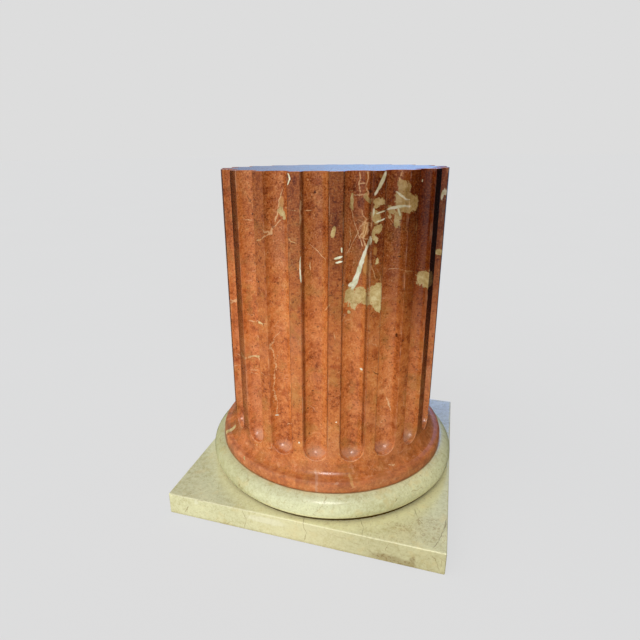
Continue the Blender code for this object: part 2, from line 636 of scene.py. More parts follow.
# %% Colours
def rgb(red, green, blue):
    """A colour as a paint mixer reads it, 0 to 255, made linear for the shader."""
    shares = [channel / 255 for channel in (red, green, blue)]
    return tuple(s / 12.92 if s <= 0.04045 else ((s + 0.055) / 1.055) ** 2.4 for s in shares)


# %% [markdown]
# ## Marks that have a place
#
# Most of a marble's pattern can be noise, but an eye knows a stone by its few large marks: here a white
# calcite streak that runs down a flute, and pale shell-shaped patches beside it. Each mark is an
# ellipse on the shaft rolled flat, given by its angle round the shaft and its height. The
# rolled-flat place is first stirred with noise, so no ellipse stays an ellipse.


# %% Marks on the rolled-flat shaft
def spot(angle, height, half_width, half_height, lean=0.0):
    """An ellipse: degrees round the shaft, millimetres up, half sizes in millimetres, and how many
    degrees its upright axis leans to the right."""
    across = radians(angle) * shaft_radius / mm
    return (across, height, half_width, half_height, lean)


def streak(start, end, width):
    """A thin ellipse from one (degrees, millimetres) place to another, a little longer than both."""
    degree = radians(1) * shaft_radius / mm
    run = (end[0] - start[0]) * degree
    rise = end[1] - start[1]
    length = (run**2 + rise**2) ** 0.5
    lean = degrees(atan2(run, rise))
    middle = ((start[0] + end[0]) / 2, (start[1] + end[1]) / 2)
    return spot(*middle, width / 2, length / 2 + width, lean)


def path(places, widths):
    """Streaks from each place to the next."""
    return [streak(a, b, w) for a, b, w in zip(places, places[1:], widths)]


def marks(recipe, flat_place, spots):
    """How far each point is from the nearest mark, 1 on a mark's rim and 0 at its middle. The place
    along each of the ellipse's own axes is a dot product, and the least sum of squares wins."""
    nearest = None
    for across, height, half_width, half_height, lean in spots:
        tilt = radians(lean)
        aside = (cos(tilt) / half_width, -sin(tilt) / half_width, 0)
        along = (sin(tilt) / half_height, cos(tilt) / half_height, 0)
        local = recipe.vector("SUBTRACT", flat_place, (across, height, 0))
        u = recipe.vector("DOT_PRODUCT", local, aside, output=1)
        v = recipe.vector("DOT_PRODUCT", local, along, output=1)
        square = recipe.maths("MULTIPLY_ADD", u, u, v * v)
        nearest = square if nearest is None else recipe.maths("MINIMUM", nearest, square)
    return recipe.maths("SQRT", nearest)


# %% [markdown]
# The pale patches are fossil shells filled with cream calcite. They crowd round the streak on the
# right of the front, with a few strays further left.

# %% Cream patches
cream_patches = [
    spot(33.2, 402, 6.6, 4.6), spot(31.6, 397.5, 3.0, 1.8), spot(31.8, 387, 4.4, 6.0),
    spot(33.0, 375, 3.6, 4.4, 20), spot(31.9, 365, 4.2, 3.2, 60), spot(31.2, 371, 1.8, 5.0),
    spot(33.2, 340.5, 1.5, 3.4, 20), spot(33.1, 303, 7.6, 13.5), spot(34.4, 290, 4.0, 6.0),
    spot(22.4, 402, 1.9, 8.4), spot(29.0, 405, 1.8, 4.6, -30),
    spot(22.7, 299, 7.4, 9.0), spot(27.2, 301, 6.4, 9.5), spot(24.4, 289, 4.2, 5.4),
    spot(29.2, 296, 2.4, 6.4), spot(22.1, 281, 2.0, 2.1),
    spot(46.8, 416, 3.5, 6.4), spot(46.6, 403, 5.4, 7.2), spot(50.4, 398, 7.0, 8.2),
    spot(47.8, 393.5, 6.2, 5.2), spot(43.3, 391.5, 5.6, 4.2, 60), spot(45.9, 381.5, 3.4, 7.6),
    spot(42.6, 384.5, 2.6, 2.4), spot(67.0, 308, 9.0, 9.0), spot(84.3, 333, 2.6, 3.2),
    spot(-12.2, 389, 5.4, 3.4, 50), spot(-11.0, 385, 2.2, 3.6), spot(13.8, 372, 2.4, 4.6, 10),
    streak((-24.6, 264), (-21.4, 262), 2.6), streak((-34.6, 209), (-32.4, 209), 2.0),
    spot(-57, 76, 5.5, 2.6, 60), spot(-31.9, 74, 2.6, 1.0, 30), spot(-29.6, 90.5, 1.0, 1.0),
]

# %% White calcite
white_veins = [
    *path([(30.0, 366), (29.6, 358), (28.7, 349), (27.5, 336)], [1.2, 1.8, 3.0]),
    *path([(27.8, 339), (27.1, 332), (25.8, 322), (24.2, 312.5)], [4.0, 5.0, 6.0]),
    spot(23.2, 313, 2.4, 5.2, 66), *path([(35.0, 428), (33.0, 417), (31.4, 411)], [4.4, 3.0]),
    streak((45.5, 409), (47.8, 403), 1.8), streak((41.8, 392.5), (47.6, 395), 3.2),
    streak((46.2, 391), (46.6, 386), 1.8), streak((35.6, 392.5), (32.4, 390.5), 1.6),
    streak((35.6, 384.6), (32.0, 382), 1.6), spot(30.6, 392, 1.0, 4.2),
    spot(15.9, 345.8, 1.4, 4.6, 70), spot(16.4, 341.2, 1.0, 4.0, 78), spot(17.4, 354, 1.0, 2.4),
    spot(63.5, 419, 0.6, 1.4), streak((84.2, 412), (83.9, 396), 1.1),
    *path([(-5.2, 429), (-4.7, 425), (-5.5, 420)], [1.6, 1.4]),
    *path([(-0.3, 345), (-0.4, 334), (-0.1, 319)], [1.1, 1.5]),
    spot(-17.0, 141, 1.4, 0.7, 20), spot(15.9, 150, 0.9, 0.9), spot(-2, 117, 0.9, 1.1),
    spot(28.8, 212, 1.1, 1.3),
]

# %% Thin pale veins
hair_veins = [
    *path([(25.6, 430), (26.0, 424), (25.5, 418), (26.4, 409)], [1.5, 1.5, 1.4]),
    *path([(28.9, 430), (29.3, 425), (28.4, 416), (29.3, 407)], [1.5, 1.5, 1.4]),
    streak((25.8, 419), (28.3, 420), 1.2), streak((23.1, 408), (28.4, 409), 1.0),
    *path([(21.9, 393), (24.0, 380), (26.0, 367), (28.4, 355)], [0.8, 0.9, 1.1]),
    *path([(26.7, 393), (28.9, 383), (27.8, 370), (28.8, 358)], [0.9, 1.0, 1.2]),
    *path([(29.1, 385), (26.6, 374), (23.9, 359), (20.1, 346)], [0.8, 0.8, 0.7]),
    *path([(21.7, 376), (22.6, 364), (21.4, 352)], [0.8, 0.7]),
    *path([(26.5, 382), (29.6, 378), (29.3, 369)], [1.0, 0.9]),
    streak((26.0, 365), (29.8, 363), 0.8), *path([(43.4, 328), (47.6, 327), (52.8, 325)], [0.6, 0.6]),
    *path([(28.7, 384), (28.2, 374), (26.5, 363)], [1.5, 1.0]),
    *path([(29.6, 380), (28.4, 368), (28.9, 356)], [1.4, 1.6]), streak((29.5, 385), (26.5, 372), 0.8),
    *path([(-11.2, 413), (-13.6, 402), (-14.2, 394)], [1.4, 1.4]), streak((-14.1, 390), (-15.5, 380), 1.8),
    *path([(-12.5, 382), (-16.5, 373), (-17.1, 367), (-18.3, 364)], [1.0, 1.8, 1.9]),
    *path([(-18.2, 371), (-17.2, 367)], [1.5]), *path([(-18.3, 364), (-20.4, 361), (-22.0, 359)], [1.0, 1.7]),
    streak((-4.5, 394), (-1.3, 393.2), 0.7), streak((0.9, 392.4), (3.5, 392.3), 0.7),
    streak((-10, 394.6), (-6.5, 394.2), 0.6), *path([(-5.7, 365), (-4.8, 362), (-2.4, 361)], [1.5, 1.2]),
    streak((-35.7, 378), (-31.8, 378), 0.8), streak((3.0, 337), (2.7, 330), 1.1),
    *path([(-0.1, 413), (0, 403), (-0.4, 392), (-0.2, 380)], [0.9, 1.3, 1.1]),
    streak((3, 356), (11, 340), 0.8),
    streak((9.6, 284), (12.4, 294), 1.0), streak((15.1, 254), (14.6, 263), 0.8),
    *path([(-16.4, 222), (-17.2, 200), (-17.6, 178), (-16.8, 156), (-17, 141)], [0.6, 0.7, 0.7, 0.6]),
    *path([(-35.3, 256), (-33.7, 255), (-24, 264), (-21.4, 262), (-18.1, 265)], [1.1, 1.2, 1.2, 0.7]),
    *path([(-41.2, 213), (-37.8, 208), (-36.1, 207), (-35, 210), (-32.4, 209), (-31.9, 205)],
          [0.9, 1.2, 1.4, 1.3, 1.2]),
    streak((-54, 270), (-53.6, 271), 3.2), streak((-55.4, 179), (-53.6, 179), 1.0),
    streak((-36.2, 190), (-32.5, 189), 0.7), streak((-36, 186), (-33.4, 184), 0.6),
    *path([(-15.2, 251), (-17.4, 244), (-17.7, 235), (-17.5, 217), (-16.5, 203)], [0.6, 0.8, 0.8, 0.7]),
    streak((30, 341), (32.5, 322), 0.8),
    streak((46.5, 430), (46, 421), 1.0), streak((41, 387), (44, 378), 1.0),
    streak((-20, 196), (-36, 211), 0.6), streak((-54, 197), (-52, 190), 0.8),
    streak((45.5, 166), (47.2, 150), 1.4), streak((-37, 205), (-41, 212), 0.9),
    *path([(-12, 127), (-9, 133), (-6, 126)], [0.8, 0.8]), spot(43, 132, 2.2, 0.7, 20),
    streak((57.5, 214), (62, 192), 1.2), *path([(44, 80), (46.5, 79)], [1.2]),
]

# %% Dark seams and pits
dark_marks = [
    streak((33.4, 213), (36.2, 206), 0.9), spot(47.4, 248, 0.9, 2.4), spot(3.6, 182.6, 1.5, 0.8),
    spot(-22.6, 312, 1.1, 1.0), spot(-30.4, 306.4, 1.2, 1.1), spot(1.2, 160, 0.9, 1.3),
    spot(1.4, 125, 0.8, 1.5), spot(-32.6, 385, 1.5, 1.4), spot(5, 411, 1.0, 1.3),
    spot(47.2, 341, 1.4, 0.9, 30), spot(29.5, 412, 1.0, 1.5),
]
rust_marks = [
    spot(-17.7, 413, 4.2, 4.2), spot(2.7, 397, 5.6, 9.0), spot(-2.5, 424, 3.6, 6.0),
    spot(15.5, 335, 5.0, 4.6), spot(26.5, 400, 4.6, 7.0), spot(15.0, 385, 4.0, 7.0),
]
tan_marks = [
    spot(29.2, 336, 2.4, 13.0, -3), spot(33.0, 427, 1.6, 2.4), spot(32.0, 352, 2.8, 5.0),
    spot(23.1, 75, 6.5, 1.8, 80), spot(-12.4, 400, 3.4, 8.0, 10), spot(28.2, 372, 2.6, 9.0, 8),
]
grey_marks = [*path([(6.6, 82), (7.2, 76), (7.0, 70), (7.5, 64)], [3.4, 2.6, 3.0]), spot(16.4, 75, 2.6, 1.4)]
placed = (cream_patches, white_veins, hair_veins, dark_marks, rust_marks, tan_marks, grey_marks)
print("placed marks:", sum(len(kind) for kind in placed))

# %% [markdown]
# ## The red marble
#
# This marble is a compressed lime mud stained by iron: a mottled orange-red ground, clouds of pink and
# of olive tan, fine pale grains, dark specks, and hair-thin calcite. Every layer is noise in the
# solid stone, so it runs through flutes and fillets as it would in a sawn block.
#
# The recipe starts with the wires that later layers share: a point's angle and height, its place on
# the rolled-flat shaft as it is and stirred, and three sizes of noise.

# %% A block of red stone
def aside(stone, away, size, detail=5.0):
    """Noise from another part of the same block, so that two layers don't fall on each other."""
    return stone.noise(stone.vector("ADD", stone.place, away), size, detail, 0.6)


def red_block():
    stone = Recipe(bpy.data.materials.new("red_marble"))
    x, y, stone.z = stone.axes()
    stone.angle = stone.maths("ARCTAN2", x, 0 - y)
    stone.flat_place = stone.flat(stone.angle * (shaft_radius / mm), stone.z * (1 / mm))
    stone.stir = stone.drift(9 * mm, 2.0)
    fray = stone.drift(1.6 * mm, 2.0, 0.6)
    stone.stirred = stone.moved(stone.moved(stone.flat_place, stone.stir, 5.0), fray, 1.6)
    stone.clouds = stone.noise(stone.moved(stone.place, stone.stir, 0.012), 42 * mm, 4.0, 0.6)
    stone.mottle = stone.noise(stone.place, 8 * mm, 5.0, 0.65)
    stone.grain = stone.noise(stone.place, 3.0 * mm, 3.0, 0.75)
    return stone


# %% [markdown]
# The clean stone is one ramp over the three noises together. Clouds of pink, of olive tan and of rust
# lie over it, each from its own part of the block.

# %% The clean red stone
iron_ramp = [
    (0.36, rgb(116, 50, 16)), (0.42, rgb(162, 83, 36)), (0.48, rgb(197, 112, 56)),
    (0.54, rgb(210, 128, 68)), (0.60, rgb(218, 147, 87)), (0.70, rgb(232, 174, 120)),
]


def clean_red(stone):
    stone.colour = stone.ramp(stone.clouds * 0.33 + stone.mottle * 0.36 + stone.grain * 0.31, iron_ramp)
    pink = stone.step(stone.noise(stone.place, 60 * mm, 3.0, 0.5), 0.50, 0.66)
    stone.paint(pink * 0.3, rgb(214, 144, 104))
    olive = stone.step(aside(stone, (0.3, 0.1, 0.2), 26 * mm), 0.53, 0.66)
    stone.paint(olive * 0.5, rgb(178, 124, 62))
    rust = stone.step(aside(stone, (0.7, 0.4, 0.1), 18 * mm), 0.55, 0.68)
    stone.paint(rust * 0.6, rgb(156, 66, 20))


# %% [markdown]
# Towards the top and the right, painted shade makes the stone darker and browner. Angles are counted from
# the middle of the plinth's front face. At the back the count jumps by a full turn, so a layer that depends
# on it has come back to its first value there, or it would leave a seam.

# %% Painted shade above and on the right, and the grain
def shade_top_and_right(stone):
    to_right = stone.step(stone.angle, radians(-40), radians(70), 0.4, 1.0)
    to_right = to_right - stone.step(stone.angle, radians(76), radians(120), 0.0, 0.6)
    # Painted shade: the upper part is darker and browner, most of all on the right.
    stone.depth = stone.step(stone.z + 0.05 * stone.clouds + 0.10 * to_right, 0.33, 0.47) * to_right
    stone.tint(stone.depth, (0.44, 0.33, 0.18))


def add_grain(stone):
    """Hair-thin calcite, brown and pale grain that is stronger above, dark specks and pale flecks."""
    net = stone.cracks(stone.moved(stone.place, stone.stir, 0.010), 24 * mm)
    sparse = stone.step(stone.noise(stone.place, 30 * mm, 2.0), 0.55, 0.68)
    stone.paint(stone.fade(net, 0.0, 0.022) * sparse * 0.45, rgb(224, 184, 140))
    fine = stone.noise(stone.place, 1.7 * mm, 2.0, 0.6)
    near_top = 0.5 + stone.step(stone.z, 0.25, 0.42)
    stone.paint(stone.step(fine, 0.50, 0.64) * near_top * 0.30, rgb(96, 40, 14))
    stone.paint(stone.fade(fine, 0.36, 0.50) * near_top * 0.13, rgb(234, 176, 122))
    stone.on_foot = stone.fade(stone.z, cove_top - 4 * mm, cove_top + 8 * mm)
    # The specks crowd a little more where the painted shade lies.
    specks = stone.step(stone.noise(stone.place, 3.4 * mm, 1.0, 0.5) + 0.05 * stone.depth, 0.64, 0.74)
    stone.paint(specks * (0.5 - 0.3 * stone.on_foot), rgb(84, 32, 12))
    flecks = stone.step(aside(stone, (0.2, 0.5, 0.3), 2.8 * mm, 1.0), 0.65, 0.75)
    stone.paint(flecks * 0.4, rgb(222, 168, 118))


# %% [markdown]
# The foot is more worn than the shaft. It is rustier, with brown patches that are strongest on the
# left, paler ones between them, and small blotches of both.

# %% The worn foot
def wear_foot(stone):
    stone.paint(stone.on_foot * 0.35, rgb(180, 96, 38))
    wear = aside(stone, (0.7, 0.2, 0.1), 26 * mm, 3.0)
    to_left = stone.step(stone.angle, radians(-75), radians(-25), 1.0, 0.25)
    to_left = to_left - stone.step(stone.angle, radians(-160), radians(-110), 0.75, 0.0)
    brown = stone.on_foot * to_left * stone.step(wear, 0.42, 0.56)
    stone.paint(brown * 0.75, rgb(136, 92, 58))
    stone.paint(stone.on_foot * stone.fade(wear, 0.32, 0.46) * 0.35, rgb(216, 132, 80))
    blotch = aside(stone, (0.2, 0.7, 0.5), 8 * mm, 4.0)
    stone.paint(stone.on_foot * stone.step(blotch, 0.52, 0.64) * 0.45, rgb(138, 72, 34))
    stone.paint(stone.on_foot * stone.fade(blotch, 0.34, 0.44) * 0.3, rgb(226, 166, 118))


# %% [markdown]
# Now the marks that have a place. Each kind lies over the last and has its own edge: stains fade out,
# the shell patches are ragged, the threads break up with the grain, and the calcite is stirred less
# than the rest, so that the streak stays straight.

# %% Stains, patches, threads and calcite
def stain(stone):
    rusty = stone.fade(marks(stone, stone.stirred, rust_marks) + stone.mottle * 0.8, 0.9, 1.5)
    stone.tint(rusty * 0.6, (0.52, 0.30, 0.20))
    tan = stone.fade(marks(stone, stone.stirred, tan_marks) + stone.mottle * 0.5, 0.95, 1.35)
    stone.paint(tan * 0.7, rgb(196, 146, 86))
    grey = stone.fade(marks(stone, stone.stirred, grey_marks) + stone.grain * 0.6, 0.9, 1.4)
    stone.paint(grey * 0.5, rgb(196, 150, 122))


def add_patches(stone):
    """The shell patches, cream with clouds of their own, and darker under the painted shade above and on the
    right.
    """
    cream = stone.ramp(stone.mottle * 0.6 + stone.grain * 0.4, [
        (0.36, rgb(164, 136, 80)), (0.5, rgb(196, 174, 118)), (0.62, rgb(214, 200, 152)),
    ])
    ragged = marks(stone, stone.stirred, cream_patches)
    ragged = ragged + (stone.mottle - 0.5) * 1.8 + (stone.grain - 0.5) * 1.4
    stone.patch = stone.fade(ragged, 1.02, 1.12)
    # The painted shade above and on the right darkens the patches too.
    cream = stone.mix(stone.depth * 0.5, cream, (0.80, 0.76, 0.68), "MULTIPLY")
    stone.paint(stone.patch * 0.94, cream)


def add_veins(stone):
    """Pale threads, white calcite and dark seams."""
    thread = stone.fade(marks(stone, stone.stirred, hair_veins), 0.7, 1.2)
    stone.paint(thread * stone.step(stone.grain, 0.34, 0.52) * 0.8, rgb(226, 188, 140))
    smooth = stone.moved(stone.flat_place, stone.stir, 3.0)
    stone.calcite = stone.fade(marks(stone, smooth, white_veins), 0.85, 1.15)
    white = stone.mix(stone.step(stone.mottle, 0.36, 0.60), rgb(200, 202, 166), rgb(232, 236, 216))
    stone.paint(stone.calcite * 0.95, white)
    stone.seam = stone.fade(marks(stone, stone.stirred, dark_marks), 0.7, 1.2)
    stone.paint(stone.seam * 0.8, rgb(58, 26, 12))


# %% [markdown]
# Painted shade and painted highlights follow the carving, so the recipe works out where each point lies in
# its own flute: how far round from the flute's middle, and, below the centres of the scoops, how far
# down. Both are shares of the flute's half width. Their root sum of squares, the reach, is 1 on the
# arris, less in the hollow and more on the fillet.

# %% Places in a flute
def place_in_flute(stone):
    turns = stone.maths("FRACT", (stone.angle - flute_turn) * (1 / pitch))
    across = stone.maths("ABSOLUTE", turns - 0.5) * (pitch / flute_half_angle)
    stone.down = stone.maths("MAXIMUM", (scoop_height - stone.z) * (1 / flute_radius), 0.0)
    stone.reach = stone.maths("SQRT", across * across + stone.down * stone.down)


# %% [markdown]
# Painted shade lies in the front flutes close to their arrises, and a thin painted dark line lies along the
# arrises themselves. The fillets are darker, and painted shade makes one on each flank nearly black.
# Both are fixed in place on the stone: the middles below are angles round the shaft.

# %% Painted shade in the flutes and on the fillets
flute_shade_middle = radians(16)
flank_shade_middle = radians(12)


def paint_flute_shade(stone):
    from_middle = stone.maths("ABSOLUTE", stone.angle - flute_shade_middle)
    hollow = stone.step(stone.reach + (stone.clouds - 0.5) * 0.06, 0.85, 0.98)
    hollow = hollow * stone.fade(stone.reach, 0.985, 1.01)
    hollow = hollow * stone.fade(from_middle, radians(24), radians(31))
    line = stone.fade(stone.maths("ABSOLUTE", stone.reach - 1.01), 0.03, 0.09)
    line = line * stone.fade(from_middle, radians(24), radians(40))
    film = stone.maths("MAXIMUM", hollow, line * 0.55)
    stone.film = film * stone.step(stone.z, scoop_height - 6 * mm, scoop_height + 12 * mm)
    # Painted shade: dark in the front flutes' hollows beside the arrises, and a thin dark line on the
    # arrises.
    stone.tint(stone.film * 0.8, (0.28, 0.20, 0.15))


def darken_fillets_and_paint_shade(stone):
    """Darker on every fillet, more so above; painted shade over the upper right, nearly black on two flank
    fillets, and under the rim.
    """
    fillet = stone.step(stone.reach, 1.0, 1.04) * stone.step(stone.z, cove_top - 6 * mm, scoop_height)
    upper = stone.step(stone.z, 0.15, 0.42)
    plain = 1.0 - 0.8 * stone.maths("MAXIMUM", stone.patch, stone.calcite)
    stone.tint(fillet * plain * (0.5 + 0.5 * upper), (0.62, 0.55, 0.42))

    # Painted shade: the upper right side, turned from the light, is darker.
    right_side_shade = stone.step(stone.angle, radians(40), radians(64))
    right_side_shade = right_side_shade * stone.fade(stone.angle, radians(74), radians(100))
    right_side_shade = right_side_shade * stone.step(stone.z + 0.05 * stone.mottle, 0.20, 0.36)
    stone.tint(right_side_shade * plain, (0.60, 0.42, 0.24))

    # Painted shade: one fillet on each flank is nearly black.
    from_middle = stone.maths("ABSOLUTE", stone.angle - flank_shade_middle)
    flank_shade = stone.step(from_middle, radians(37), radians(57))
    flank_shade = flank_shade * stone.step(from_middle, radians(61), radians(70), 1.0, 0.12)
    flank_shade = flank_shade * stone.step(stone.z + (stone.mottle - 0.5) * 0.1, 0.10, 0.34, 0.55, 1.0)
    stone.tint(fillet * flank_shade * 0.96, (0.22, 0.15, 0.11))

    # Painted shade under the top rim, more on the right.
    under_rim_shade = stone.step(stone.z + 0.03 * stone.mottle, 0.33, 0.43)
    to_right = stone.step(stone.angle, radians(0), radians(40), 0.25, 1.0)
    to_right = to_right - stone.step(stone.angle, radians(80), radians(140), 0.0, 0.75)
    stone.tint(under_rim_shade * to_right, (0.66, 0.56, 0.50))


# %% [markdown]
# The scoops get a pale painted sheen, a painted highlight, and the arrises painted pale highlights in
# stretches, more so round the scoops. The top shows the clean stone, tinted darker and cooler as painted
# shade.

# %% Painted highlights, the shaded top and the finish
def paint_highlights(stone):
    # Painted highlight: a pale sheen in the lower part of each scoop.
    stone.veil = stone.fade(stone.reach + (stone.mottle - 0.5) * 0.3, 0.88, 1.0)
    stone.veil = stone.veil * stone.step(stone.down, 0.1, 0.7)
    stone.paint(stone.veil * 0.36, rgb(214, 176, 150))
    # Painted highlight: pale stretches along the rubbed arrises, more round the scoops.
    stretched = stone.vector("MULTIPLY", stone.place, (1, 1, 0.25))
    rubbed = 0.6 * stone.step(stone.noise(stretched, 5 * mm, 2.0), 0.50, 0.64)
    rubbed = rubbed + 0.7 * stone.step(stone.down, 0.4, 0.9)
    rubbed = rubbed * stone.fade(stone.maths("ABSOLUTE", stone.reach - 1.025), 0.005, 0.035)
    stone.paint(rubbed * 0.38, rgb(228, 186, 148))


def red_marble():
    stone = red_block()
    clean_red(stone)
    clean = stone.colour
    for layer in (shade_top_and_right, add_grain, wear_foot, stain, add_patches, add_veins):
        layer(stone)
    place_in_flute(stone)
    for layer in (paint_flute_shade, darken_fillets_and_paint_shade, paint_highlights):
        layer(stone)
    # Painted shade: the top face takes the clean stone, darker and cooler.
    top_shade = stone.step(stone.z, shaft_top - 0.6 * mm, shaft_top - 0.2 * mm)
    stone.paint(top_shade, stone.mix(1.0, clean, (0.55, 0.60, 0.64), "MULTIPLY"))

    pits = stone.step(stone.noise(stone.place, 1.1 * mm, 0.0), 0.70, 0.78)
    height = 0.5 * stone.mottle + 0.2 * stone.grain - pits * 0.8 - stone.seam * 0.8
    dull_band = stone.step(stone.z, lip_bottom + 3.8 * mm, lip_bottom + 5.4 * mm, 0.42, 0.0)
    roughness = 0.11 + 0.08 * stone.mottle + 0.22 * pits + 0.10 * stone.patch
    roughness = roughness + 0.1 * stone.film + 0.03 * stone.veil + dull_band
    return stone.finish(roughness, height, 0.25 * mm)


carved_shaft.data.materials.append(red_marble())

# %% [markdown]
# ## The cream marble
#
# Torus and plinth are of one cream stone: a warm pale ground with soft clouds, thin brown hairlines, and
# grey-brown dust with painted shade in the joints. The torus is the cleaner of the two. On the plinth,
# wear has dulled the top and a brown stain has crept up the front near the right corner.

# %% Cream marble
def cream_ground(stone, pale, deep):
    """The clean stone. Returns its clouds and its grain for the rest of the finish."""
    stirred = stone.moved(stone.place, stone.drift(20 * mm, 2.0), 0.02)
    clouds = stone.noise(stirred, 55 * mm, 4.0, 0.5)
    mottle = stone.noise(stone.place, 7 * mm, 4.0, 0.65)
    grain = stone.noise(stone.place, 2.6 * mm, 3.0, 0.7)
    light = tuple(min(1, share * 1.14) for share in pale)
    ground = clouds * 0.3 + mottle * 0.35 + grain * 0.35
    stone.colour = stone.ramp(ground, [(0.38, deep), (0.5, pale), (0.62, light)])
    warm = stone.step(aside(stone, (0.4, 0.2, 0.6), 18 * mm), 0.54, 0.70)
    stone.paint(warm * 0.35, rgb(206, 188, 132))
    wide_cracks = ((0, 0, 0), 50 * mm, 0.012, 0.55)
    close_cracks = ((0.5, 0.1, 0.3), 21 * mm, 0.02, 0.3)
    for away, size, width, strength in (wide_cracks, close_cracks):
        net = stone.cracks(stone.vector("ADD", stirred, away), size)
        broken = stone.step(aside(stone, away, 30 * mm, 3.0), 0.48, 0.60)
        stone.paint(stone.fade(net, 0.0, width) * broken * strength, rgb(146, 122, 74))
    specks = stone.step(aside(stone, (0.1, 0.6, 0.2), 3.2 * mm, 1.0), 0.64, 0.75)
    stone.paint(specks * 0.4, rgb(152, 130, 86))
    return clouds, grain


def finish_cream(stone, clouds, grain):
    pits = stone.step(stone.noise(stone.place, 1.4 * mm, 0.0), 0.72, 0.79)
    stone.paint(pits * 0.5, rgb(140, 120, 80))
    height = clouds * 0.5 + 0.2 * grain - pits * 0.7
    return stone.finish(0.17 + 0.10 * clouds + 0.3 * pits, height, 0.2 * mm)


# %% [markdown]
# On the torus, light and shade are painted round its side: darker on the left, lighter on the right and
# low down. Underneath, where it meets the plinth, dust and painted shade darken it, more on the right. A
# thin brown line marks the bed of the shaft.

# %% The torus's stone
joint_dirt_and_shade = rgb(104, 78, 22)
torus_stains = [
    spot(-28.5, 47, 1.2, 2.6, 20), spot(-26.8, 45, 1.6, 1.0),
    spot(24, 40, 0.8, 1.6), spot(41, 52, 0.7, 2.4, 40),
]


def torus_marble():
    stone = Recipe(bpy.data.materials.new("cream_torus_marble"))
    clouds, grain = cream_ground(stone, rgb(200, 201, 163), rgb(184, 181, 136))
    x, y, z = stone.axes()
    angle = stone.maths("ARCTAN2", x, 0 - y)
    radius = stone.radius()
    to_the_right = stone.step(angle, radians(-50), radians(45), 0.55, 0.95)
    to_the_right = to_the_right - stone.step(angle, radians(100), radians(160), 0.0, 0.4)
    # Painted light and shade: darker on the left, lighter on the right.
    facing = stone.ramp(angle * (0.5 / pi) + 0.5, [
        (0.04, (1.0, 1.0, 1.0)), (0.28, (0.84, 0.82, 0.74)), (0.40, (0.86, 0.84, 0.76)),
        (0.48, (1.0, 1.0, 1.0)), (0.58, (1.04, 1.03, 1.0)), (0.66, (1.24, 1.19, 1.08)),
        (0.78, (1.1, 1.08, 1.02)), (0.94, (1.0, 1.0, 1.0)),
    ])
    stone.tint(1.0, facing)
    # Painted light: the lower part is lighter towards the right.
    low = stone.fade(z, torus_bottom + 6 * mm, torus_bottom + 12 * mm)
    stone.tint(low * to_the_right, (1.3, 1.22, 1.1))
    # Painted shade with joint dirt: dark brown on the lowest few millimetres, more on the right.
    under = stone.fade(z - grain * 1.2 * mm, torus_bottom + 3.8 * mm, torus_bottom + 5.0 * mm)
    stone.paint(under * to_the_right, joint_dirt_and_shade)
    bed = stone.fade(radius - grain * 1.0 * mm, foot_radius + 0.1 * mm, foot_radius + 0.8 * mm)
    stone.paint(bed * 0.75, rgb(150, 100, 54))
    flat_place = stone.flat(angle * (shaft_radius / mm), z * (1 / mm))
    brown = stone.fade(marks(stone, flat_place, torus_stains) + grain, 1.0, 1.6)
    stone.paint(brown * 0.55, rgb(120, 96, 52))
    return finish_cream(stone, clouds, grain)


rounded_torus.data.materials.append(torus_marble())

# %% [markdown]
# The plinth's marks are laid out on its top and front unfolded into one sheet: x across, and y carried
# on down the front face. It has a crack near the front right corner, two that cross the front edge, a
# brown water stain, small knocks, and a painted highlight, a pale line along the bevel.

# %% The plinth's marks, in millimetres
front_edge = -plinth_half / mm


def crack(places, width):
    """Thin ellipses from each (x, unfolded y) place to the next."""
    degree = radians(1) * shaft_radius / mm
    return path([(x / degree, y) for x, y in places], [width] * (len(places) - 1))


plinth_cracks = [
    *crack([(4, -159), (8, -168), (10, -180), (13, -190), (10, -203)], 1.1),
    *crack([(74, -150), (80, -162), (80, -176)], 0.9),
    *crack([(174, -121), (170, -141), (165, -158), (160, -170)], 1.6),
    *crack([(134, -112), (139, -127), (147, -137)], 0.9),
    *crack([(159, -180), (165, -190), (169, -201)], 0.9), *crack([(171, -181), (170, -196)], 0.7),
    *crack([(-70, -176), (-66, -190), (-68, -204)], 0.8), *crack([(-152, -198), (-147, -189)], 2.0),
    *crack([(-133, -175), (-124, -175)], 1.4), *crack([(112, -176), (108, -190)], 0.7),
]
plinth_stain = [
    (132, front_edge - 27, 14, 7, 0), (112, front_edge - 24, 26, 6, 0), (139, front_edge - 21, 4, 9, 0),
]
plinth_dust = [(150, -143, 27, 25, -30), (120, -152, 20, 12, 0)]
plinth_pale = [(-135, front_edge - 4, 3, 5, 0), (-40, front_edge - 9, 30, 6, 0)]


